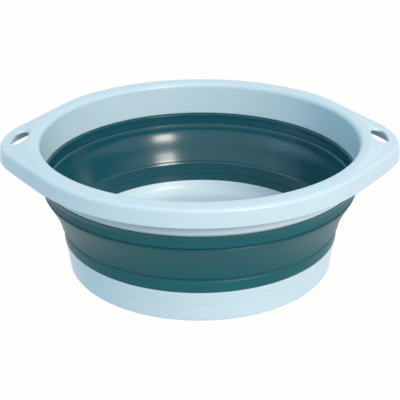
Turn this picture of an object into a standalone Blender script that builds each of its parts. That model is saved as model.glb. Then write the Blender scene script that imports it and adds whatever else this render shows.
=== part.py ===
"""Collapsible wash basin: a rigid rim with two hanging ears, a soft wall that folds, and a rigid base cup.

The open basin is modelled in metres, +Z up, with the origin on the middle of the face it stands on.
The ears lie along X. The soft wall is one moulding that bends at two folds. Its bands are rigid rings here:
the rim sinks by one travel, and the middle panel by half of it, round the base cup. So each ring clears
the one inside it by a named clearance, as nested cups do.
"""

import math

import bmesh
import bpy

# Base cup: hard plastic, one moulding
BASE_TOP_RADIUS = 0.1264
BASE_FLARE = 0.0037
BASE_HEIGHT = 0.0290
BASE_WALL = 0.0030
BASE_LIP = 0.0014
LIP_HEIGHT = 0.0096
FLOOR_THICKNESS = 0.0030
FOOT_HEIGHT = 0.0034
FOOT_WIDTH = 0.0095
FOOT_ROUND = 0.0010
FLOOR_CORNER_RADIUS = 0.0070
BASE_HALFWAY_FLARE_SHARE = 0.35

# Soft wall: the radius grows from the base to the rim, band by band
BAND_WALL = 0.0022
BAND_EDGE = 0.0005
LOWER_BAND_RISE = 0.0129
LOWER_BAND_LEAN = 0.0004
PANEL_WALL = 0.0020
PANEL_HEIGHT = 0.0391
PANEL_FLARE = 0.0109
PANEL_HOLLOW_SHARE = 0.44
UPPER_BAND_HEIGHT = 0.0155
UPPER_BAND_KNEE = 0.0085
FOLD_LAP = 0.0020
FOLD_WIDTH = 0.0017
FOLD_DEPTH = 0.0014
FOLD_EDGE_SHARE = 0.25

# Rim frame: hard plastic, one moulding
COLLAR_WALL = 0.0040
COLLAR_OFFSET = 0.0027
COLLAR_HEIGHT = 0.0188
COLLAR_SLANT = 0.0047
RIM_WALL = 0.0022
RIM_WIDTH = 0.0188
DOME_INNER_WIDTH = 0.0086
DOME_RISE = 0.0092
TOP_FALL = 0.0004
SHOULDER_ROUND = 0.0030
SHOULDER_DROP = 0.0035
SKIRT_FLARE = 0.0016
SKIRT_DEPTH = 0.0155
EAR_REACH = 0.0188
EAR_NOSE_RADIUS = 0.0700
EAR_FALL = 0.0050
EAR_SHOULDER_ROUND = 0.0042
EAR_SKIRT_FLARE = 0.0030
EAR_SKIRT_LIFT = 0.0020
EAR_FALL_START_DEGREES = 44
EAR_FALL_END_DEGREES = 4
SLOT_WIDTH = 0.0136
SLOT_LENGTH = 0.0330
SLOT_SETBACK = 0.0179

# Fits and mesh
SEAT_GAP = 0.0003
SLIDE_CLEARANCE = 0.00035
CUT_OVERRUN = 0.0050
STATIONS = 64
EAR_CROWDING_SHARE = 0.15
CORNER_STEPS = 4
PANEL_STEPS = 3
DOME_STEPS = 5
SHOULDER_STEPS = 3
SLOT_STEPS = 28
SLOT_FULLNESS = 1.25
SHARP_EDGE_DEGREES = 32

# Shape of the top between its crest and its shoulder: share of the way out, share of the fall
TOP_SHARES = ((0.0, 0.0), (0.14, 0.20), (0.32, 0.42), (0.56, 0.65), (0.80, 0.86), (1.0, 1.0))

# Radii and heights that follow from the sizes above
LOWER_BAND_RADIUS = BASE_TOP_RADIUS - SEAT_GAP
PANEL_BOTTOM_INNER = BASE_TOP_RADIUS + SLIDE_CLEARANCE
PANEL_BOTTOM_RADIUS = PANEL_BOTTOM_INNER + PANEL_WALL
PANEL_TOP_RADIUS = PANEL_BOTTOM_RADIUS + PANEL_FLARE
UPPER_BAND_INNER = PANEL_TOP_RADIUS + SLIDE_CLEARANCE
COLLAR_INNER = PANEL_TOP_RADIUS + COLLAR_OFFSET
COLLAR_OUTER = COLLAR_INNER + COLLAR_WALL
RIM_RADIUS = COLLAR_INNER + RIM_WIDTH
EAR_TIP = RIM_RADIUS + EAR_REACH
SLOT_CENTRE = EAR_TIP - SLOT_SETBACK
LOWER_BAND_TOP = BASE_HEIGHT + LOWER_BAND_RISE
PANEL_BOTTOM = LOWER_BAND_TOP - FOLD_LAP
PANEL_TOP = PANEL_BOTTOM + PANEL_HEIGHT
UPPER_BAND_BOTTOM = PANEL_TOP - FOLD_LAP
UPPER_BAND_TOP = UPPER_BAND_BOTTOM + UPPER_BAND_HEIGHT
SLANT_GAP = SEAT_GAP * math.hypot(COLLAR_WALL, COLLAR_SLANT) / COLLAR_WALL
COLLAR_BOTTOM = UPPER_BAND_TOP + SLANT_GAP
COLLAR_TOP = COLLAR_BOTTOM + COLLAR_HEIGHT
CREST = COLLAR_TOP + DOME_RISE
SKIRT_BOTTOM = CREST - SKIRT_DEPTH
COLLAR_FOOT = COLLAR_BOTTOM - COLLAR_SLANT


def clear_scene():
    """Empties the file that the script runs in."""
    for item in list(bpy.data.objects):
        bpy.data.objects.remove(item)


def plastic(name, colour, roughness):
    """A Principled BSDF in one colour."""
    material = bpy.data.materials.new(name)
    material.use_nodes = True
    shader = material.node_tree.nodes["Principled BSDF"]
    shader.inputs["Base Color"].default_value = (*colour, 1)
    shader.inputs["Roughness"].default_value = roughness
    shader.inputs["Metallic"].default_value = 0
    return material


def stations():
    """The angles of the cross-sections, closer together at the ears. All rings share them, so facets nest."""
    steps = [2 * math.pi * i / STATIONS for i in range(STATIONS)]
    return [step - EAR_CROWDING_SHARE * math.sin(2 * step) for step in steps]


def ring_body(name, section_at, material):
    """One closed body through the sections round the Z axis. A section is a loop of (radius, height)."""
    mesh_maker = bmesh.new()
    angles = stations()
    poles = {}
    rings = []
    for angle in angles:
        ring = []
        for place, (radius, height) in enumerate(section_at(angle)):
            if radius == 0:
                if place not in poles:
                    poles[place] = mesh_maker.verts.new((0, 0, height))
                ring.append(poles[place])
            else:
                spot = (radius * math.cos(angle), radius * math.sin(angle), height)
                ring.append(mesh_maker.verts.new(spot))
        rings.append(ring)
    for here, following in zip(rings, rings[1:] + rings[:1]):
        for i, low in enumerate(here):
            j = (i + 1) % len(here)
            corners = [low, here[j], following[j], following[i]]
            unique = [v for k, v in enumerate(corners) if v not in corners[:k]]
            if len(unique) > 2:
                mesh_maker.faces.new(unique)
    bmesh.ops.recalc_face_normals(mesh_maker, faces=mesh_maker.faces)
    mesh = bpy.data.meshes.new(name)
    mesh_maker.to_mesh(mesh)
    mesh_maker.free()
    mesh.shade_smooth()
    mesh.set_sharp_from_angle(angle=math.radians(SHARP_EDGE_DEGREES))
    body = bpy.data.objects.new(name, mesh)
    bpy.context.scene.collection.objects.link(body)
    mesh.materials.append(material)
    return body


def turned(name, section, material):
    """A round piece: the same section at each angle."""
    return ring_body(name, lambda angle: section, material)


def bead_section(inner, low):
    """The six-sided section of a fold's bead."""
    edge = FOLD_WIDTH * FOLD_EDGE_SHARE
    outer = inner + FOLD_WIDTH
    return [
        (inner, low + FOLD_DEPTH / 2),
        (inner + edge, low),
        (outer - edge, low),
        (outer, low + FOLD_DEPTH / 2),
        (outer - edge, low + FOLD_DEPTH),
        (inner + edge, low + FOLD_DEPTH),
    ]


def base_cup(material):
    """The cup that the basin stands on: foot ring, raised floor, leaning wall and a thin upper lip."""
    foot_radius = BASE_TOP_RADIUS - BASE_FLARE
    halfway_radius = foot_radius + BASE_FLARE * BASE_HALFWAY_FLARE_SHARE
    inner_wall = BASE_TOP_RADIUS - BASE_WALL
    floor_top = FOOT_HEIGHT + FLOOR_THICKNESS
    shelf = BASE_HEIGHT - LIP_HEIGHT
    centre_radius = inner_wall - BASE_FLARE * BASE_HALFWAY_FLARE_SHARE - FLOOR_CORNER_RADIUS
    centre_height = floor_top + FLOOR_CORNER_RADIUS
    section = [
        (0, FOOT_HEIGHT),
        (foot_radius - FOOT_WIDTH - FOOT_ROUND, FOOT_HEIGHT),
        (foot_radius - FOOT_WIDTH, 0),
        (foot_radius - FOOT_ROUND, 0),
        (foot_radius, FOOT_ROUND),
        (halfway_radius, BASE_HEIGHT / 2),
        (BASE_TOP_RADIUS, BASE_HEIGHT),
        (BASE_TOP_RADIUS - BASE_LIP, BASE_HEIGHT),
        (BASE_TOP_RADIUS - BASE_LIP, shelf),
        (inner_wall, shelf),
    ]
    for step in range(CORNER_STEPS + 1):
        turn = math.pi / 2 * step / CORNER_STEPS
        radius = centre_radius + FLOOR_CORNER_RADIUS * math.cos(turn)
        section.append((radius, centre_height - FLOOR_CORNER_RADIUS * math.sin(turn)))
    section.append((0, floor_top))
    return turned("base_cup", section, material)


def lower_band(material):
    """The soft wall's lowest band. Its flange laps the inside of the cup's lip, and its top is the lower fold."""
    flange_outer = BASE_TOP_RADIUS - BASE_LIP - SEAT_GAP
    foot = BASE_HEIGHT - LIP_HEIGHT + SEAT_GAP
    inner_foot = BASE_TOP_RADIUS - BASE_WALL
    section = [
        (inner_foot, foot),
        (flange_outer, foot),
        (flange_outer, BASE_HEIGHT + SEAT_GAP),
        (LOWER_BAND_RADIUS, BASE_HEIGHT + SEAT_GAP),
        (LOWER_BAND_RADIUS, LOWER_BAND_TOP - BAND_EDGE),
        (LOWER_BAND_RADIUS - BAND_EDGE, LOWER_BAND_TOP),
        (inner_foot + LOWER_BAND_LEAN + BAND_EDGE, LOWER_BAND_TOP),
        (inner_foot + LOWER_BAND_LEAN, LOWER_BAND_TOP - BAND_EDGE),
    ]
    return turned("wall_lower_band", section, material)


def middle_panel(material):
    """The wide leaning panel between the folds, slightly hollow, with an upright edge at the top and the bottom."""
    outside = []
    for step in range(PANEL_STEPS + 1):
        way = step / PANEL_STEPS
        curve = way * (1 - PANEL_HOLLOW_SHARE) + way * way * PANEL_HOLLOW_SHARE
        radius = PANEL_BOTTOM_RADIUS + PANEL_FLARE * curve
        height = PANEL_BOTTOM + FOLD_LAP + (PANEL_HEIGHT - 2 * FOLD_LAP) * way
        outside.append((radius, height))
    inside = [(radius - PANEL_WALL, height) for radius, height in reversed(outside)]
    bottom_edge = [(PANEL_BOTTOM_INNER, PANEL_BOTTOM), (PANEL_BOTTOM_RADIUS, PANEL_BOTTOM)]
    top_edge = [(PANEL_TOP_RADIUS, PANEL_TOP), (PANEL_TOP_RADIUS - PANEL_WALL, PANEL_TOP)]
    return turned("wall_middle_panel", bottom_edge + outside + top_edge + inside, material)


def fold_bead(name, inner, low, material):
    """The soft bead at a fold, which lies along the panel's edge."""
    return turned(name, bead_section(inner, low), material)


def upper_band(material):
    """The band under the rim. It flares at its knee, and its slanted head follows the collar's foot."""
    knee = UPPER_BAND_BOTTOM + UPPER_BAND_KNEE
    outer = UPPER_BAND_INNER + BAND_WALL
    section = [
        (outer, knee),
        (outer, UPPER_BAND_BOTTOM + BAND_EDGE),
        (outer - BAND_EDGE, UPPER_BAND_BOTTOM),
        (UPPER_BAND_INNER + BAND_EDGE, UPPER_BAND_BOTTOM),
        (UPPER_BAND_INNER, UPPER_BAND_BOTTOM + BAND_EDGE),
        (UPPER_BAND_INNER, knee - BAND_EDGE),
        (COLLAR_INNER, COLLAR_FOOT - SLANT_GAP),
        (COLLAR_OUTER, UPPER_BAND_TOP),
    ]
    return turned("wall_upper_band", section, material)


def rim_reach(angle):
    """How far out the skirt's lower edge is: a circle, and at each ear a nose arc with straight flanks.

    The flanks touch both the circle and the nose arc, like a belt round a large and a small wheel.
    """
    off_axis = abs(math.atan2(math.sin(angle), abs(math.cos(angle))))
    nose_centre = EAR_TIP - EAR_NOSE_RADIUS
    touch = math.acos((RIM_RADIUS - EAR_NOSE_RADIUS) / nose_centre)
    nose_end_x = nose_centre + EAR_NOSE_RADIUS * math.cos(touch)
    nose_end_y = EAR_NOSE_RADIUS * math.sin(touch)
    if off_axis <= math.atan2(nose_end_y, nose_end_x):
        across = nose_centre * math.sin(off_axis)
        return nose_centre * math.cos(off_axis) + math.sqrt(EAR_NOSE_RADIUS**2 - across**2)
    if off_axis <= touch:
        return RIM_RADIUS / math.cos(touch - off_axis)
    return RIM_RADIUS


def mix(first, second, share):
    """The value that lies share of the way from first to second."""
    return first + (second - first) * share


def ear_fall(angle):
    """How much lower the rim's top is towards an ear: a smooth slope down to the ear's middle."""
    off_axis = math.degrees(abs(math.atan2(math.sin(angle), abs(math.cos(angle)))))
    ramp = (EAR_FALL_START_DEGREES - off_axis) / (EAR_FALL_START_DEGREES - EAR_FALL_END_DEGREES)
    ramp = min(max(ramp, 0), 1)
    return EAR_FALL * ramp * ramp * (3 - 2 * ramp)


def rim_top(angle):
    """The rim's upper surface in section, from the collar's foot over the top to the skirt's lower edge."""
    reach = rim_reach(angle)
    ear = (reach - RIM_RADIUS) / EAR_REACH
    crest_radius = COLLAR_INNER + DOME_INNER_WIDTH
    edge_radius = reach - mix(SKIRT_FLARE, EAR_SKIRT_FLARE, ear)
    round_width = mix(SHOULDER_ROUND, EAR_SHOULDER_ROUND, ear)
    shoulder_radius = edge_radius - round_width
    shoulder = CREST - TOP_FALL - ear_fall(angle)
    points = [(COLLAR_INNER, COLLAR_BOTTOM)]
    for step in range(DOME_STEPS):
        turn = math.pi / 2 * step / DOME_STEPS
        radius = mix(crest_radius, COLLAR_INNER, math.cos(turn))
        points.append((radius, mix(COLLAR_TOP, CREST, math.sin(turn))))
    for out, down in TOP_SHARES:
        points.append((mix(crest_radius, shoulder_radius, out), mix(CREST, shoulder, down)))
    for step in range(1, SHOULDER_STEPS + 1):
        turn = math.pi / 2 * step / SHOULDER_STEPS
        radius = shoulder_radius + round_width * math.sin(turn)
        points.append((radius, shoulder - SHOULDER_DROP * (1 - math.cos(turn))))
    points.append((reach, SKIRT_BOTTOM + EAR_SKIRT_LIFT * ear))
    return points


def offset_point(before, here, after, distance):
    """The point at a distance below the line before, here, after, square to it."""
    run = after[0] - before[0]
    rise = after[1] - before[1]
    length = math.hypot(run, rise)
    return (here[0] + rise / length * distance, here[1] - run / length * distance)


def rim_section(angle):
    """The closed section of the rim: its upper surface, the wall's thickness below it, and the collar's foot."""
    top = rim_top(angle)
    under = [(COLLAR_OUTER, COLLAR_BOTTOM)]
    for before, here, after in zip(top, top[1:], top[2:]):
        wall = COLLAR_WALL if here[0] <= COLLAR_INNER else RIM_WALL
        under.append(offset_point(before, here, after, wall))
    under.append((top[-1][0] - RIM_WALL, top[-1][1]))
    return top[1:] + list(reversed(under)) + [(COLLAR_INNER, COLLAR_FOOT)]


def slot_cutter(side):
    """A hidden oval block that cuts one ear's hanging slot."""
    mesh_maker = bmesh.new()
    outline = []
    for step in range(SLOT_STEPS):
        turn = 2 * math.pi * step / SLOT_STEPS
        across = abs(math.cos(turn)) ** (1 / SLOT_FULLNESS)
        along = abs(math.sin(turn)) ** (1 / SLOT_FULLNESS)
        x = side * SLOT_CENTRE + math.copysign(SLOT_WIDTH / 2 * across, math.cos(turn))
        y = math.copysign(SLOT_LENGTH / 2 * along, math.sin(turn))
        outline.append(mesh_maker.verts.new((x, y, SKIRT_BOTTOM - CUT_OVERRUN)))
    face = mesh_maker.faces.new(outline)
    lifted = bmesh.ops.extrude_face_region(mesh_maker, geom=[face])
    tops = [item for item in lifted["geom"] if isinstance(item, bmesh.types.BMVert)]
    height = CREST + CUT_OVERRUN - (SKIRT_BOTTOM - CUT_OVERRUN)
    bmesh.ops.translate(mesh_maker, verts=tops, vec=(0, 0, height))
    bmesh.ops.recalc_face_normals(mesh_maker, faces=mesh_maker.faces)
    name = "slot_cutter_right" if side > 0 else "slot_cutter_left"
    mesh = bpy.data.meshes.new(name)
    mesh_maker.to_mesh(mesh)
    mesh_maker.free()
    cutter = bpy.data.objects.new(name, mesh)
    bpy.context.scene.collection.objects.link(cutter)
    cutter.hide_render = True
    cutter.display_type = "WIRE"
    return cutter


def rim_frame(material):
    """The rim with its dome, skirt, collar, ears and hanging slots."""
    body = ring_body("rim_frame", rim_section, material)
    for side in (1, -1):
        cut = body.modifiers.new("hanging_slot", "BOOLEAN")
        cut.operation = "DIFFERENCE"
        cut.solver = "EXACT"
        cut.object = slot_cutter(side)
    return body


clear_scene()
pale_blue = plastic("pale_blue_plastic", (0.60, 0.75, 0.83), 0.36)
dark_teal = plastic("dark_teal_soft_plastic", (0.022, 0.100, 0.120), 0.42)

base_cup(pale_blue)
lower_band(dark_teal)
fold_bead("wall_lower_fold", PANEL_BOTTOM_INNER, PANEL_BOTTOM - SEAT_GAP - FOLD_DEPTH, dark_teal)
middle_panel(dark_teal)
fold_bead("wall_upper_fold", PANEL_TOP_RADIUS - FOLD_WIDTH, PANEL_TOP + SEAT_GAP, dark_teal)
upper_band(dark_teal)
rim_frame(pale_blue)
print(f"opening radius {COLLAR_INNER:.4f}, ear tip {EAR_TIP:.4f}, height {CREST:.4f}")
print(f"panel {PANEL_BOTTOM:.4f} to {PANEL_TOP:.4f}, skirt bottom {SKIRT_BOTTOM:.4f}, slot {SLOT_CENTRE:.4f}")
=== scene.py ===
# %% [markdown]
# # A folding wash basin, dressed for its photograph
#
# The basin is three mouldings: a rigid pale blue rim with two hanging ears, a rigid pale blue base cup, and
# one soft dark teal wall between them that folds at two creases. The packed model is loaded first, as a fixed
# frame. Each moulding is then remade here with its fine edges and its plastic, in the same place and at the
# same size.

# %% Load the packed model
import math

import bmesh
import bpy
import mathutils
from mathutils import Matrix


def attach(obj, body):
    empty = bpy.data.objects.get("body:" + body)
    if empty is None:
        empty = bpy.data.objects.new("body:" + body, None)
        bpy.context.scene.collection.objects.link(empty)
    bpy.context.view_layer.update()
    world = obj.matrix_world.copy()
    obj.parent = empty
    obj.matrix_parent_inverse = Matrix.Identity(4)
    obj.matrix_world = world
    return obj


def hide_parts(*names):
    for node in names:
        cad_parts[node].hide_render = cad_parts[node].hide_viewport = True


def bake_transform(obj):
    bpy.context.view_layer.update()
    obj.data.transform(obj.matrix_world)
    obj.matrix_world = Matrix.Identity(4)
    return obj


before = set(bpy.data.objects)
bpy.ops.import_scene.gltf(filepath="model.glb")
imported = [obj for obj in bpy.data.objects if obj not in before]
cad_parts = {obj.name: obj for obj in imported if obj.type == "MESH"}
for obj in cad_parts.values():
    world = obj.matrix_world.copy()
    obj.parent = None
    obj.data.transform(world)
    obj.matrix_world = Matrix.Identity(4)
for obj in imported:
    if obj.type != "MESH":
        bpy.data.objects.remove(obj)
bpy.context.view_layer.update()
print("nodes:", sorted(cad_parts))

# %% [markdown]
# ## Sizes that all three mouldings share
#
# All three are rings round the Z axis, so a length here is a radius or a height. The photograph gives them: a
# camera fitted to the rim, the creases and the base turns each visible line into a radius and a height, in
# millimetres. One factor turns millimetres into Blender's metres, so the numbers read as they would on a
# drawing.

# %% Shared sizes
MM = 0.001
BASE_TOP = 29.0
LOWER_FOLD = 41.9
UPPER_FOLD = 77.0
COLLAR_FOOT = 93.0
CREST = 121.0
SKIRT_FOOT = 105.5
BASE_RADIUS = 126.4
OPENING_RADIUS = 142.35
RIM_RADIUS = 161.15
EAR_TIP = 179.95
print("height of the rim's crest:", CREST, "mm; span over the ears:", 2 * EAR_TIP, "mm")

# %% [markdown]
# ## Drawing a cross-section with rounded corners
#
# A moulding has no knife edges: each corner of its mould is rounded, and those small radii catch the light. A
# section could be drawn point by point, but then a radius is hard to change. Here a section is a short list
# of corners, each with its own rounding. One helper turns a corner into an arc, which takes up less than half
# of each side, and leaves a corner that is nearly straight as it is. The other divides the long runs.

# %% Rounded sections
NEARLY_STRAIGHT = math.radians(176)
SHARE_OF_SIDE = 0.45


def arc(before, corner, after, radius, steps):
    """The points of an arc that rounds a corner, touching both of its sides."""
    here = mathutils.Vector(corner)
    back = mathutils.Vector(before) - here
    ahead = mathutils.Vector(after) - here
    opening = back.angle(ahead)
    if radius == 0 or opening > NEARLY_STRAIGHT:
        return [here]
    longest_cut = min(back.length, ahead.length) * SHARE_OF_SIDE
    cut = min(radius / math.tan(opening / 2), longest_cut)
    radius = cut * math.tan(opening / 2)
    start = here + back.normalized() * cut
    end = here + ahead.normalized() * cut
    inward = (back.normalized() + ahead.normalized()).normalized()
    centre = here + inward * (radius / math.sin(opening / 2))
    points = []
    for step in range(steps + 1):
        spoke = (start - centre).slerp(end - centre, step / steps)
        points.append(centre + spoke.normalized() * radius)
    return points


def rounded_section(corners, longest, steps=4):
    """A closed loop of (radius, height) from corners of (radius, height, rounding), no edge over longest."""
    loop = []
    for i, (x, z, rounding) in enumerate(corners):
        before = corners[i - 1][:2]
        after = corners[(i + 1) % len(corners)][:2]
        loop += arc(before, (x, z), after, rounding, steps)
    points = []
    for here, following in zip(loop, loop[1:] + loop[:1]):
        pieces = max(1, math.ceil((following - here).length / longest))
        points += [here.lerp(following, i / pieces) for i in range(pieces)]
    return points


square = [(0, 0, 1), (9, 0, 1), (9, 9, 1), (0, 9, 1)]
print("a square with rounded corners takes", len(rounded_section(square, 3)), "points")

# %% [markdown]
# ## Writing node maths as Python
#
# Both the shapes and the finishes are node trees. Their sums are easier to read as Python expressions, so a
# small class wraps one socket, and each operator on it adds a Math node. A second class adds any other node
# from its type, its settings and the values or links of its sockets.

# %% Sockets that can be added and multiplied
class Wire:
    """One output socket of a tree. Operators on it add Math nodes."""

    def __init__(self, tree, socket):
        self.tree = tree
        self.socket = socket

    def __add__(self, other):
        return self.tree.math("ADD", self, other)

    def __sub__(self, other):
        return self.tree.math("SUBTRACT", self, other)

    def __rsub__(self, other):
        return self.tree.math("SUBTRACT", other, self)

    def __mul__(self, other):
        return self.tree.math("MULTIPLY", self, other)

    def __truediv__(self, other):
        return self.tree.math("DIVIDE", self, other)

    def __rtruediv__(self, other):
        return self.tree.math("DIVIDE", other, self)

    def __pow__(self, other):
        return self.tree.math("POWER", self, other)

    def __mod__(self, other):
        return self.tree.math("FLOORED_MODULO", self, other)

    __radd__ = __add__
    __rmul__ = __mul__


operators = [name for name in vars(Wire) if callable(getattr(Wire, name)) and name != "__init__"]
print("operators on a wire:", operators)


# %% Any other node
class Tree:
    """Adds nodes to one node tree."""

    def __init__(self, nodes_of):
        self.nodes_of = nodes_of

    def node(self, kind, settings=None, inputs=None):
        """A node of any kind: its settings first, then the values and links of its inputs."""
        made = self.nodes_of.nodes.new(kind)
        for name, value in (settings or {}).items():
            setattr(made, name, value)
        for name, value in (inputs or {}).items():
            if isinstance(value, Wire):
                self.nodes_of.links.new(value.socket, made.inputs[name])
            else:
                made.inputs[name].default_value = value
        return made

    def wire(self, kind, settings=None, inputs=None, output=0):
        """One output of a new node."""
        return Wire(self, self.node(kind, settings, inputs).outputs[output])

    def math(self, operation, *values):
        """A Math node on numbers or wires."""
        return self.wire("ShaderNodeMath", {"operation": operation}, dict(enumerate(values)))

    def ramp(self, value, low, high, curve="SMOOTHSTEP"):
        """value's place between low and high, from 0 to 1."""
        inputs = {"Value": value, "From Min": low, "From Max": high}
        return self.wire("ShaderNodeMapRange", {"interpolation_type": curve}, inputs)

    def join(self, wire, socket):
        """Links a wire to a socket."""
        self.nodes_of.links.new(wire.socket, socket)


print("a tree adds nodes by:", [name for name in vars(Tree) if not name.startswith("__")])

# %% [markdown]
# ## The ears seen from above
#
# The rim is a circle that runs out to an ear on each side: two straight flanks leave the circle and end in a
# blunt nose. It could be drawn as a curve, but the same outline has to stretch every ring of the rim's top.
# So it is written as a rule: how far out the skirt lies at each angle off the X axis.

# %% The ear's rule in plan: a circle, straight flanks and a blunt nose
EAR_REACH = EAR_TIP - RIM_RADIUS
NOSE_RADIUS = 70.0
nose_centre = EAR_TIP - NOSE_RADIUS
flank_touch = math.acos((RIM_RADIUS - NOSE_RADIUS) / nose_centre)
nose_end = math.atan2(
    NOSE_RADIUS * math.sin(flank_touch), nose_centre + NOSE_RADIUS * math.cos(flank_touch)
)
print(f"flanks leave the circle at {math.degrees(flank_touch):.1f} deg off the X axis")
print(f"the nose ends at {math.degrees(nose_end):.1f} deg")


def where_above(tree, value, limit, above, below):
    """above where value is over limit, else below."""
    over = tree.wire("FunctionNodeCompare", {"operation": "GREATER_THAN"}, {"A": value, "B": limit})
    choices = {"Switch": over, "False": below, "True": above}
    return tree.wire("GeometryNodeSwitch", {"input_type": "FLOAT"}, choices)


def plan_reach(tree, off_axis):
    """How far out the skirt is, in metres, at an angle off the X axis."""
    across = tree.math("SINE", off_axis) * (nose_centre * MM)
    along = tree.math("COSINE", off_axis) * (nose_centre * MM)
    nose = along + tree.math("SQRT", (NOSE_RADIUS * MM) ** 2 - across * across)
    flank = (RIM_RADIUS * MM) / tree.math("COSINE", flank_touch - off_axis)
    ear = where_above(tree, off_axis, nose_end, flank, nose)
    return where_above(tree, off_axis, flank_touch, RIM_RADIUS * MM, ear)


# %% [markdown]
# ## A tree that turns a section into a ring
#
# A lathe makes a ring from a section, and so could a Screw modifier, but neither could add the ears. They
# follow a rule, so Geometry Nodes fit them well. One tree serves all three mouldings, so what differs between
# them is a named input.

# %% The ring tree and its inputs
ring_group = bpy.data.node_groups.new("ring_from_section", "GeometryNodeTree")
input_kinds = {
    "Section": "NodeSocketGeometry",
    "Steps": "NodeSocketInt",
    "Ear share": "NodeSocketFloat",
    "Ear fall": "NodeSocketFloat",
    "Skirt lift": "NodeSocketFloat",
    "Finish": "NodeSocketMaterial",
}
ring_inputs = {
    label: ring_group.interface.new_socket(label, in_out="INPUT", socket_type=kind)
    for label, kind in input_kinds.items()
}
ring_group.interface.new_socket("Ring", in_out="OUTPUT", socket_type="NodeSocketGeometry")
ring = Tree(ring_group)
group_input = ring.node("NodeGroupInput")
given = {label: Wire(ring, group_input.outputs[label]) for label in ring_inputs}
print("inputs of the ring tree:", list(given))

# %% [markdown]
# The tree starts from a flat grid, with one row for each point of the section and one column for each step
# round the axis. Each grid point looks up its section point by its row, and its column says how far round the
# axis it goes.

# %% Grid and section point
count = ring.wire("GeometryNodeAttributeDomainSize", None, {"Geometry": given["Section"]}, "Point Count")
grid_inputs = {"Size X": 1.0, "Size Y": 1.0, "Vertices X": given["Steps"] + 1, "Vertices Y": count + 1}
grid = ring.wire("GeometryNodeMeshGrid", None, grid_inputs, "Mesh")
place = ring.wire("GeometryNodeInputPosition")
on_grid = ring.node("ShaderNodeSeparateXYZ", None, {0: place})
turn = (Wire(ring, on_grid.outputs["X"]) + 0.5) * (2 * math.pi)
row = ring.math("ROUND", (Wire(ring, on_grid.outputs["Y"]) + 0.5) * count)
lookup = {"Geometry": given["Section"], "Value": place, "Index": row % count}
section_point = ring.wire("GeometryNodeSampleIndex", {"data_type": "FLOAT_VECTOR"}, lookup)
on_section = ring.node("ShaderNodeSeparateXYZ", None, {0: section_point})
radius = Wire(ring, on_section.outputs["X"])
height = Wire(ring, on_section.outputs["Z"])
print("ring tree so far:", len(ring_group.nodes), "nodes")

# %% [markdown]
# The ear stretches only the flat top between two radii, so the rounded inner edge and the skirt keep their
# section. The top falls along a sine, steep at first and level towards the nose, and the skirt's foot lifts a
# little there. The fall starts before the flank leaves the circle, so the crest dips gently on its way round
# to the ear.

# %% Add the ears' rule
STRETCH_START = 151.2
STRETCH_END = 156.4
FALL_STARTS = math.radians(44)
FALL_FULL = math.radians(4)
FALL_CURVE = 1.3
SHOULDER_DEPTH = 4
cosine = ring.math("COSINE", turn)
sine = ring.math("SINE", turn)
off_axis = ring.math("ARCTAN2", ring.math("ABSOLUTE", sine), ring.math("ABSOLUTE", cosine))
past_circle = plan_reach(ring, off_axis) - RIM_RADIUS * MM
out = ring.ramp(radius, STRETCH_START * MM, STRETCH_END * MM, curve="LINEAR")
new_radius = radius + past_circle * out * given["Ear share"]
nearness = ring.ramp(off_axis, FALL_STARTS, FALL_FULL)
slope = ring.math("SINE", out * (math.pi / 2)) ** FALL_CURVE
fall = given["Ear fall"] * nearness * slope
down_skirt = ring.ramp(height, (CREST - SHOULDER_DEPTH) * MM, SKIRT_FOOT * MM, curve="LINEAR")
lift = given["Skirt lift"] * (past_circle / (EAR_REACH * MM)) * down_skirt * out
new_place = {"X": new_radius * cosine, "Y": new_radius * sine, "Z": height - fall + lift}
print("ring tree with ears:", len(ring_group.nodes), "nodes")

# %% [markdown]
# The grid's first and last columns meet after a full turn, and so do its first and last rows. Merging points
# that lie on each other closes both seams, which a grid that is only bent would leave open.

# %% Close the ring
WELD = 0.02 * MM
spot = ring.wire("ShaderNodeCombineXYZ", None, new_place)
placed = ring.wire("GeometryNodeSetPosition", None, {"Geometry": grid, "Position": spot})
merged = ring.wire("GeometryNodeMergeByDistance", None, {"Geometry": placed, "Distance": WELD})
smooth = ring.wire("GeometryNodeSetShadeSmooth", None, {"Geometry": merged})
whole = ring.wire("GeometryNodeRealizeInstances", None, {"Geometry": smooth})
finished = ring.wire("GeometryNodeSetMaterial", None, {"Geometry": whole, "Material": given["Finish"]})
ring.node("NodeGroupOutput", None, {"Ring": finished})
print("ring tree:", len(ring_group.nodes), "nodes")

# %% [markdown]
# ## From a section to a plain mesh
#
# The tree could stay on each moulding as a live modifier, but the moulding still has to be cut and numbered
# as a plain mesh. So the section goes in as loose points, the modifier runs once, and what it makes is kept.
# The faces are then turned outwards and shaded smooth, with a crisp line where a corner is sharp.

# %% Keep what a modifier makes
CUBIC_CM = 1e6


def link(name, data):
    """An object in the scene's collection."""
    made = bpy.data.objects.new(name, data)
    bpy.context.scene.collection.objects.link(made)
    return made


def keep_result(piece, modifier):
    """Gives the piece the plain mesh that its modifier makes, and removes the modifier."""
    evaluated = piece.evaluated_get(bpy.context.evaluated_depsgraph_get())
    result = bpy.data.meshes.new_from_object(evaluated)
    piece.modifiers.remove(modifier)
    drawn = piece.data
    piece.data = result
    bpy.data.meshes.remove(drawn)


def face_outward(mesh, sharp_degrees=50):
    """Drops a pole's loose edge, makes the faces point out, and shades smooth up to an angle."""
    maker = bmesh.new()
    maker.from_mesh(mesh)
    loose = [edge for edge in maker.edges if not edge.link_faces]
    bmesh.ops.delete(maker, geom=loose, context="EDGES")
    bmesh.ops.recalc_face_normals(maker, faces=maker.faces)
    open_edges = sum(not edge.is_manifold for edge in maker.edges)
    volume = round(maker.calc_volume() * CUBIC_CM, 1)
    print(mesh.name, len(maker.faces), "faces,", open_edges, "open edges, volume", volume, "cm3")
    maker.to_mesh(mesh)
    maker.free()
    mesh.shade_smooth()
    mesh.set_sharp_from_angle(angle=math.radians(sharp_degrees))


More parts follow.
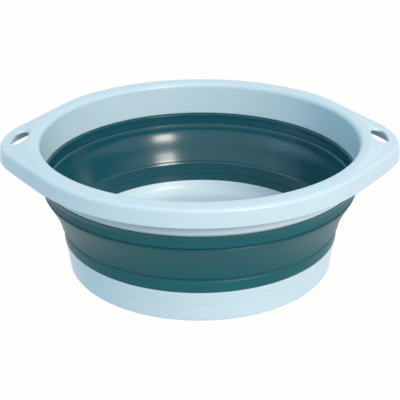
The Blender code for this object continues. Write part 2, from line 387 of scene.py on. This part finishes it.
# %% Turn a section
def turn_ring(name, points, finish, steps=256, ear_share=0.0, ear_fall=0.0, skirt_lift=0.0):
    """A moulding from its section, through the ring tree, as a plain mesh with its faces outward."""
    mesh = bpy.data.meshes.new(name)
    mesh.from_pydata([(point[0] * MM, 0, point[1] * MM) for point in points], [], [])
    piece = link(name, mesh)
    modifier = piece.modifiers.new("ring", "NODES")
    modifier.node_group = ring_group
    values = {
        "Steps": steps,
        "Ear share": ear_share,
        "Ear fall": ear_fall,
        "Skirt lift": skirt_lift,
        "Finish": finish,
    }
    for label, value in values.items():
        modifier[ring_inputs[label].identifier] = value
    keep_result(piece, modifier)
    face_outward(piece.data)
    return piece


# %% [markdown]
# ## The rigid plastic
#
# Rim and base are satin polypropylene, a pale cool blue. It is never one flat colour: the pigment clouds a
# little, the base is painted paler as painted light, lifting it where the lamps leave it dim, and the mould's
# fine texture spreads the highlights. There could be two materials. But the clouds and the texture come from
# noise and the painted light from height, both on the object's own coordinates, so one finish serves both
# mouldings.

# %% Colours
COLOUR_A, COLOUR_B, COLOUR_RESULT = 6, 7, 2


def linear(red, green, blue):
    """A colour picked on a screen, 0 to 255, as Blender's linear colour."""
    values = []
    for value in (red, green, blue):
        share = value / 255
        values.append(share / 12.92 if share <= 0.04045 else ((share + 0.055) / 1.055) ** 2.4)
    return (*values, 1)


def blended(tree, factor, first, second):
    """A colour between two others. The Mix node keeps the sockets of its colour mode at fixed places."""
    inputs = {"Factor": factor, COLOUR_A: first, COLOUR_B: second}
    return tree.wire("ShaderNodeMix", {"data_type": "RGBA"}, inputs, COLOUR_RESULT)


print("mid grey on a screen is", round(linear(128, 128, 128)[0], 3), "in linear colour")


# %% A new finish, its noise and its texture
def start_finish(name):
    """A material and its tree, with the Principled shader."""
    material = bpy.data.materials.new(name)
    material.use_nodes = True
    tree = Tree(material.node_tree)
    shader = material.node_tree.nodes["Principled BSDF"]
    return material, tree, shader


def noise(tree, coordinates, scale, detail, roughness):
    """Noise from 0 to 1, with about scale patches to the metre."""
    inputs = {"Vector": coordinates, "Scale": scale, "Detail": detail, "Roughness": roughness}
    return tree.wire("ShaderNodeTexNoise", None, inputs, "Fac")


def mould_texture(tree, shader, coordinates, scale, strength):
    """The fine texture that the mould leaves, as a bump 0.3 mm deep at full strength."""
    grain = noise(tree, coordinates, scale, detail=1.0, roughness=0.6)
    inputs = {"Strength": strength, "Distance": 0.3 * MM, "Height": grain}
    tree.join(tree.wire("ShaderNodeBump", None, inputs, "Normal"), shader.inputs["Normal"])


# %% Pale blue polypropylene
CLOUD_SHARE = 0.3
PLACE_SHARE = 0.7
RIM_BLUE = linear(203, 219, 223)
# Painted light: the base blends towards this paler blue from 60 mm down to 20 mm high, which lifts it where
# the lamps leave it dim. The clouds blend towards it too.
CLOUD_AND_PAINTED_LIGHT_BLUE = linear(220, 237, 243)
PAINTED_LIGHT_STARTS = 60.0
PAINTED_LIGHT_FULL = 20.0
BLUE_ROUGHNESS = 0.29
BLUE_UNEVENNESS = 0.06
pale_blue, paint, shader = start_finish("pale_blue_polypropylene")
coordinates = paint.wire("ShaderNodeTexCoord", None, None, "Object")
clouds = noise(paint, coordinates, scale=22.0, detail=3.0, roughness=0.5)
above_foot = Wire(paint, paint.node("ShaderNodeSeparateXYZ", None, {0: coordinates}).outputs["Z"])
# Painted light on the base: paler the lower it is, in full below 20 mm.
painted_light = paint.ramp(above_foot, PAINTED_LIGHT_STARTS * MM, PAINTED_LIGHT_FULL * MM)
colour = blended(paint, clouds * CLOUD_SHARE + painted_light * PLACE_SHARE, RIM_BLUE, CLOUD_AND_PAINTED_LIGHT_BLUE)
paint.join(colour, shader.inputs["Base Color"])
paint.join(BLUE_ROUGHNESS + clouds * BLUE_UNEVENNESS, shader.inputs["Roughness"])
mould_texture(paint, shader, coordinates, scale=600.0, strength=0.02)
print("pale blue finish:", len(pale_blue.node_tree.nodes), "nodes")

# %% [markdown]
# ## The soft plastic
#
# The wall is a soft rubber-like plastic in dark teal. Its outside is satin. Its inside comes off a polished
# core, so the light stands in it as two soft patches, which a clear coat gives. The inside is also painted a
# darker teal, as painted shade. A point's radius could tell the inside from the outside, but only while the
# wall is open. So one number on each vertex says how far it faces inwards, and a second one how near it is to
# a fold on the outside, where painted shade darkens the plastic. The finish follows both numbers, also when
# the wall folds.

# %% Dark teal soft plastic
# Painted shade: the inside gets a darker copy of the teal than the outside.
POLISHED_SHADED_TEAL = linear(3, 72, 84)
SATIN_TEAL = linear(31, 99, 104)
# Painted shade: the colour that darkens the outside along the folds.
CREASE_SHADE_TEAL = linear(4, 44, 52)
CREASE_SHADE_SHARE = 0.7
TEAL_ROUGHNESS = 0.37
TEAL_UNEVENNESS = 0.05
POLISH_SMOOTHING = 0.16
POLISH_COAT = 0.68
dark_teal, paint, shader = start_finish("dark_teal_soft_plastic")
coordinates = paint.wire("ShaderNodeTexCoord", None, None, "Object")
clouds = noise(paint, coordinates, scale=26.0, detail=4.0, roughness=0.55)
# How far a point faces inwards drives the polish and the coat, and also the painted shade of the inside.
polish_and_inside_shade = paint.wire("ShaderNodeAttribute", {"attribute_name": "facing_in"}, None, "Fac")
painted_crease_shade = paint.wire("ShaderNodeAttribute", {"attribute_name": "crease_shade"}, None, "Fac")
# Painted shade: the inside takes the darker teal, with the clouds' random tone on top.
clouds_and_unshaded_outside = clouds * CLOUD_SHARE + (1.0 - polish_and_inside_shade) * PLACE_SHARE
colour = blended(paint, clouds_and_unshaded_outside, POLISHED_SHADED_TEAL, SATIN_TEAL)
# Painted shade along the folds.
colour = blended(paint, painted_crease_shade * CREASE_SHADE_SHARE, colour, CREASE_SHADE_TEAL)
paint.join(colour, shader.inputs["Base Color"])
roughness = TEAL_ROUGHNESS - polish_and_inside_shade * POLISH_SMOOTHING + clouds * TEAL_UNEVENNESS
paint.join(roughness, shader.inputs["Roughness"])
paint.join(polish_and_inside_shade * POLISH_COAT, shader.inputs["Coat Weight"])
shader.inputs["Coat Roughness"].default_value = 0.18
shader.inputs["Specular IOR Level"].default_value = 0.18
mould_texture(paint, shader, coordinates, scale=700.0, strength=0.015)
print("dark teal finish:", len(dark_teal.node_tree.nodes), "nodes")

# %% [markdown]
# ## The rim
#
# One moulding: an upright collar that holds the soft wall, a rounded inner edge, a broad flat top, a rounded
# shoulder and a slanted skirt. It could be a rounded tube with ears joined on, but then a seam would show
# where they meet. Here the section is drawn once, from the collar's foot up inside the shell, down inside the
# skirt, round its foot and back over the top, and the ring tree adds the two ears.

# %% Draw and turn the rim
RIM_WALL = 2.2
COLLAR_WALL = 4.0
JOINT_RISE = 4.7
SKIRT_FLARE = 1.6
under_top = CREST - RIM_WALL
rim_corners = [
    (OPENING_RADIUS, COLLAR_FOOT - JOINT_RISE, 0.3),
    (OPENING_RADIUS + COLLAR_WALL, COLLAR_FOOT, 0.4),
    (OPENING_RADIUS + COLLAR_WALL, under_top - 5.2, 3.0),
    (OPENING_RADIUS + 8.6, under_top - 0.2, 3.0),
    (RIM_RADIUS - SKIRT_FLARE - RIM_WALL, under_top - 0.4, 1.6),
    (RIM_RADIUS - RIM_WALL, SKIRT_FOOT, 0.4),
    (RIM_RADIUS, SKIRT_FOOT, 0.7),
    (RIM_RADIUS - SKIRT_FLARE, CREST - 0.4, 3.4),
    (OPENING_RADIUS + 9.2, CREST + 0.1, 8.0),
    (OPENING_RADIUS, CREST - 0.2, 8.6),
]
rim_section = rounded_section(rim_corners, longest=1.0, steps=7)
ears = {"ear_share": 1.0, "ear_fall": 5.0 * MM, "skirt_lift": 2.0 * MM}
rim = turn_ring("rim_moulding", rim_section, pale_blue, steps=320, **ears)
print("rim section:", len(rim_section), "points")

# %% [markdown]
# Each ear has an oval hanging slot with softened edges. Deleting faces would leave ragged edges on both skins
# of the shell, so a cutter is subtracted instead. The cutter widens towards its top, which leaves a softened
# edge, and its rings tilt with the ear's slope. A power below one makes the oval squarer than an ellipse.

# %% The cutter for one slot
SLOT_WIDTH = 13.6
SLOT_LENGTH = 33.0
SLOT_CENTRE = EAR_TIP - 17.9
SLOT_TOP = CREST - 3.6
SLOT_TILT = 0.14
OVAL_STEPS = 72
OVAL_POWER = 0.8
SLOT_LEVELS = ((-20.0, 0.0), (-2.6, 0.0), (-1.4, 0.0), (-0.7, 0.25), (0.2, 1.0), (9.0, 9.0))


def squarer(share):
    """A sine or cosine, raised to the oval's power with its sign kept."""
    return math.copysign(abs(share) ** OVAL_POWER, share)


def slot_cutter(side):
    """An oval block across one ear, from rings at (height over the ear's top, extra width)."""
    maker = bmesh.new()
    rings = []
    for above_top, margin in SLOT_LEVELS:
        ring_points = []
        for step in range(OVAL_STEPS):
            angle = 2 * math.pi * step / OVAL_STEPS
            across = squarer(math.cos(angle)) * (SLOT_WIDTH / 2 + margin)
            along = squarer(math.sin(angle)) * (SLOT_LENGTH / 2 + margin)
            level = SLOT_TOP + above_top - across * SLOT_TILT
            corner = ((SLOT_CENTRE + across) * side * MM, along * MM, level * MM)
            ring_points.append(maker.verts.new(corner))
        rings.append(ring_points)
    for low, high in zip(rings, rings[1:]):
        for i in range(OVAL_STEPS):
            j = (i + 1) % OVAL_STEPS
            maker.faces.new((low[i], low[j], high[j], high[i]))
    maker.faces.new(rings[0])
    maker.faces.new(rings[-1])
    bmesh.ops.recalc_face_normals(maker, faces=maker.faces)
    mesh = bpy.data.meshes.new("slot_cutter")
    maker.to_mesh(mesh)
    maker.free()
    mesh.materials.append(pale_blue)
    return link("slot_cutter", mesh)


print("each slot is", SLOT_WIDTH, "by", SLOT_LENGTH, "mm, centred", round(SLOT_CENTRE, 2), "mm off the axis")

# %% Cut both slots and attach the rim to its body
for side in (1, -1):
    cutter = slot_cutter(side)
    cut = rim.modifiers.new("slot", "BOOLEAN")
    cut.operation = "DIFFERENCE"
    cut.solver = "EXACT"
    cut.object = cutter
    keep_result(rim, cut)
    bpy.data.objects.remove(cutter)
face_outward(rim.data, sharp_degrees=40)
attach(rim, "rim")
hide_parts("rim_frame")
print("rim is closed and cut:", len(rim.data.polygons), "faces")

# %% [markdown]
# ## The base cup
#
# A shallow cup with a foot ring, a raised floor, a leaning side and a thin lip that the soft wall laps. A
# cylinder with an inset and a bevel would come close, but the side leans out more towards its lip, and the
# inside corner is a wide sweep. So it is turned from a section as the rim is, with no ears. The section
# starts and ends on the axis, and the merge in the tree closes the two poles.

# %% Draw and turn the base
BASE_FLARE = 3.7
BASE_WALL = 3.0
LIP = 1.4
LAP_SEAT = 19.4
FLOOR_UNDER = 3.4
FLOOR_TOP = 6.4
FOOT_WIDTH = 9.5
HALF_WAY_UP = 14.5
LEAN_HALF_WAY = 0.35
foot_radius = BASE_RADIUS - BASE_FLARE
side_lean = BASE_FLARE * LEAN_HALF_WAY
inner_side = BASE_RADIUS - BASE_WALL - side_lean
base_corners = [
    (0, FLOOR_UNDER, 0),
    (foot_radius - FOOT_WIDTH - 1.0, FLOOR_UNDER, 1.5),
    (foot_radius - FOOT_WIDTH, 0.0, 0.8),
    (foot_radius, 0.0, 1.6),
    (foot_radius + side_lean, HALF_WAY_UP, 18.0),
    (BASE_RADIUS, BASE_TOP, 0.3),
    (BASE_RADIUS - LIP, BASE_TOP, 0.3),
    (BASE_RADIUS - LIP, LAP_SEAT, 0.1),
    (BASE_RADIUS - BASE_WALL, LAP_SEAT, 0.3),
    (inner_side - 1.6, 11.6, 12.0),
    (inner_side - 9.0, FLOOR_TOP, 16.0),
    (0, FLOOR_TOP, 0),
]
base_section = rounded_section(base_corners, longest=4.0, steps=7)
base = turn_ring("base_moulding", base_section, pale_blue)
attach(base, "base")
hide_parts("base_cup")
print("base section:", len(base_section), "points")

# %% [markdown]
# ## The soft wall
#
# One soft moulding that the packed model splits where it folds. Here it is whole: its lower band laps the
# cup's lip, its panel leans out between two folds, and its upper band meets the collar in a slanted joint.
# Separate rings would be easier to move, but a real bellows has no gaps. The panel's lean changes on the way
# up, which gives the soft waves that the light shows, so each side of it is drawn from a list of leans.

# %% Draw the panel between the folds
def leaning_run(low, high, leans, pieces=4):
    """The panel from its low to its high end. leans is how much it leans out at even steps on the way up."""
    rise = (high[1] - low[1]) / ((len(leans) - 1) * pieces)
    steps_up = []
    for lean, following in zip(leans, leans[1:]):
        steps_up += [lean + (following - lean) * (i + 0.5) / pieces for i in range(pieces)]
    scale = (high[0] - low[0]) / (sum(steps_up) * rise)
    run = [(low[0], low[1], 0)]
    for lean in steps_up:
        run.append((run[-1][0] + lean * scale * rise, run[-1][1] + rise, 0))
    return run


OUTER_LEANS = (0.16, 0.28, 0.36, 0.42, 0.50, 0.52, 0.50)
INNER_LEANS = (0.48, 0.47, 0.46, 0.43, 0.40, 0.40, 0.43, 0.47, 0.47, 0.38, 0.18)
outer_panel = leaning_run(low=(128.6, 43.9), high=(141.5, 75.0), leans=OUTER_LEANS)
inner_panel = leaning_run(low=(125.7, 42.6), high=(137.6, 73.4), leans=INNER_LEANS)[::-1]
print("points on the panel's outside:", len(outer_panel), "and inside:", len(inner_panel))

# %% [markdown]
# The rest of the section is a few corners for each end and each fold, named for the part that they draw. Each
# corner is a radius, a height and a rounding, and they go up the outside and down the inside. Each fold is a
# groove on the outside and a step on the inside. The small ledge at the collar lets the dark wall reach right
# up to the rim.

# %% Draw the ends and folds, and turn the wall
cup_lap = [(123.45, 19.8, 0.3), (124.6, 19.8, 0.3), (124.6, 29.4, 0.1), (126.25, 29.4, 0.3)]
lower_fold_outside = [(126.65, 38.5, 0.7), (125.8, 40.0, 0.6), (126.3, 42.3, 0.4), (127.6, 43.0, 0.3)]
upper_fold_outside = [(142.15, 76.0, 0.8), (140.95, 77.4, 0.4), (142.2, 78.9, 0.8), (142.15, 84.8, 4.0)]
collar_joint = [(146.3, 92.6, 0.4), (142.35, 88.0, 0.2), (140.7, 87.7, 0.6)]
upper_fold_inside = [(140.15, 84.0, 6.0), (140.1, 79.6, 6.0), (140.0, 77.5, 0.4), (138.5, 76.8, 0.5)]
lower_fold_inside = [(125.2, 41.6, 0.3), (125.35, 40.4, 0.3), (124.15, 38.5, 0.8)]
cup_lap_inside = [(123.75, 28.3, 0.3), (123.45, 27.4, 0.3)]
up_the_outside = cup_lap + lower_fold_outside + outer_panel + upper_fold_outside + collar_joint
down_the_inside = upper_fold_inside + inner_panel + lower_fold_inside + cup_lap_inside
wall_section = rounded_section(up_the_outside + down_the_inside, longest=2.0)
wall = turn_ring("soft_wall", wall_section, dark_teal)
print("wall section:", len(wall_section), "points")

# %% [markdown]
# The finish reads two numbers that stay with the plastic when it moves, so they are written on the vertices.

# %% Number the vertices
INSIDE_EDGE = 2
# Painted shade along the folds: strongest at each fold's middle, fading over its reach, on the outside only.
CREASE_SHADE_BANDS = ((LOWER_FOLD + 0.3, 2.0), (UPPER_FOLD + 0.7, 1.8))
facing_in = wall.data.attributes.new("facing_in", "FLOAT", "POINT")
crease_shade = wall.data.attributes.new("crease_shade", "FLOAT", "POINT")
for vertex, share, fold_shade in zip(wall.data.vertices, facing_in.data, crease_shade.data):
    outward = vertex.normal.xy.dot(vertex.co.xy) / vertex.co.xy.length
    share.value = min(1.0, max(0.0, 0.5 - outward * INSIDE_EDGE))
    level = vertex.co.z / MM
    near_fold = max(0, *(1 - abs(level - middle) / reach for middle, reach in CREASE_SHADE_BANDS))
    fold_shade.value = near_fold * (1 - share.value)
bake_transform(wall)
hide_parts("wall_lower_band", "wall_lower_fold", "wall_middle_panel", "wall_upper_fold", "wall_upper_band")
polished = sum(share.value > 0.5 for share in facing_in.data)
print("vertices on the polished side:", polished, "of", len(wall.data.vertices))

# %% [markdown]
# ## The floor and the white surroundings
#
# The photograph is a studio cut-out on white. Strong lamps on a white floor would give that too, but they
# would wash out the basin. Instead, a large pale floor and the world are mixed towards pure white where the
# camera sees them, or sees them mirrored, and the light on the basin stays soft and level. The floor keeps a
# trace of its shadow.

# %% The floor
HALF_FLOOR = 6.0
FLOOR_GREY = 0.42
FLOOR_WHITENESS = 0.985
PAPER_WHITE = (1, 1, 0.99, 1)


def white_where_seen(tree, strength):
    """A factor that is strength where the camera, a reflection or a see-through ray looks, else zero."""
    rays = tree.node("ShaderNodeLightPath")
    kinds = ("Is Camera Ray", "Is Glossy Ray", "Is Transmission Ray")
    seen = [Wire(tree, rays.outputs[kind]) for kind in kinds]
    return tree.math("MINIMUM", seen[0] + seen[1] + seen[2], 1.0) * strength


floor_mesh = bpy.data.meshes.new("studio_floor")
floor_corners = [(x * HALF_FLOOR, y * HALF_FLOOR, 0) for x, y in ((-1, -1), (1, -1), (1, 1), (-1, 1))]
floor_mesh.from_pydata(floor_corners, [], [(0, 1, 2, 3)])
floor = link("studio_floor", floor_mesh)
floor_finish, paint, shader = start_finish("studio_white")
shader.inputs["Base Color"].default_value = (FLOOR_GREY, FLOOR_GREY, FLOOR_GREY, 1)
shader.inputs["Roughness"].default_value = 0.9
glow = paint.wire("ShaderNodeEmission", None, {"Color": PAPER_WHITE, "Strength": 1.0})
whiteness = white_where_seen(paint, FLOOR_WHITENESS)
mixed = paint.wire("ShaderNodeMixShader", None, {0: whiteness, 1: Wire(paint, shader.outputs[0]), 2: glow})
paint.join(mixed, floor_finish.node_tree.nodes["Material Output"].inputs["Surface"])
floor_mesh.materials.append(floor_finish)
print("floor:", 2 * HALF_FLOOR, "m square")

# %% The world
COOL_FILL = (0.44, 0.64, 0.79, 1)
world = bpy.data.worlds.new("studio")
bpy.context.scene.world = world
world.use_nodes = True
sky = Tree(world.node_tree)
fill = blended(sky, white_where_seen(sky, 1.0), COOL_FILL, (1, 1, 1, 1))
sky.join(fill, world.node_tree.nodes["Background"].inputs["Color"])
print("world:", len(world.node_tree.nodes), "nodes")

# %% [markdown]
# ## The lamps
#
# The photograph's main light seems to be a softbox at the front right, slightly warm. It lights the right of
# the outside and the left of the inside, and stands in the polished inside as the two patches. A point lamp
# would make them hard and small, so all three lamps are areas. A cool one low on the left lightens the side
# in shade, and a weak warm one overhead lifts the flat tops.

# %% Place the lamps
def softbox(name, place, aim, size, power, colour):
    """A rectangular lamp of a width and height in metres, facing a point."""
    lamp = bpy.data.lights.new(name, "AREA")
    lamp.shape = "RECTANGLE"
    lamp.size, lamp.size_y = size
    lamp.energy = power
    lamp.color = colour
    made = link(name, lamp)
    made.location = place
    direction = mathutils.Vector(aim) - mathutils.Vector(place)
    made.rotation_euler = direction.to_track_quat("-Z", "Y").to_euler()


def around(azimuth, elevation, distance):
    """A place round the basin: degrees from the front towards the right, degrees up, and metres away."""
    flat = distance * math.cos(math.radians(elevation))
    side = math.radians(azimuth)
    return (flat * math.sin(side), -flat * math.cos(side), distance * math.sin(math.radians(elevation)))


MIDDLE = (0, 0, 60 * MM)
UPPER_WALL = (0, 0, 80 * MM)
WARM_WHITE, COOL, AMBER = (1.0, 0.92, 0.83), (0.40, 0.85, 1.0), (1.0, 0.66, 0.42)
softbox("key", around(31.5, 31.5, 3.0), MIDDLE, size=(0.76, 0.80), power=50.0, colour=WARM_WHITE)
softbox("left_fill", around(-80, 16, 2.5), UPPER_WALL, size=(1.6, 1.2), power=6.0, colour=COOL)
softbox("overhead", (0.0, -0.3, 1.5), MIDDLE, size=(1.1, 1.1), power=2.6, colour=AMBER)

# %% [markdown]
# ## The camera
#
# It stands where the photograph's stood. A fit to the ellipses of the rim, the creases and the base, and to
# both ear tips, gave its place, how far it looks down, its slight roll and its focal length in pixels. It
# could be aimed at the basin by eye or by a constraint, but then the outlines wouldn't meet the photograph's.

# %% The camera
CAMERA_SPOT = (0.364 * MM, -771.4 * MM, 416.8 * MM)
CAMERA_DIP = 25.22
CAMERA_ROLL = -0.325
FOCAL_PIXELS = 917.0
FRAME_PIXELS = 400
HALF_PIXEL = 0.5 / FRAME_PIXELS
camera_data = bpy.data.cameras.new("camera")
camera_data.sensor_width = 36.0
camera_data.lens = FOCAL_PIXELS / FRAME_PIXELS * camera_data.sensor_width
camera_data.shift_x = -HALF_PIXEL
camera_data.shift_y = HALF_PIXEL
camera = link("camera", camera_data)
tilt = mathutils.Matrix.Rotation(math.radians(90 - CAMERA_DIP), 4, "X")
roll = mathutils.Matrix.Rotation(math.radians(CAMERA_ROLL), 4, "Z")
camera.matrix_world = mathutils.Matrix.Translation(CAMERA_SPOT) @ tilt @ roll
bpy.context.scene.camera = camera
bpy.context.scene.view_settings.view_transform = "Standard"
print("lens:", round(camera_data.lens, 2), "mm")

# %% [markdown]
# ## Finish
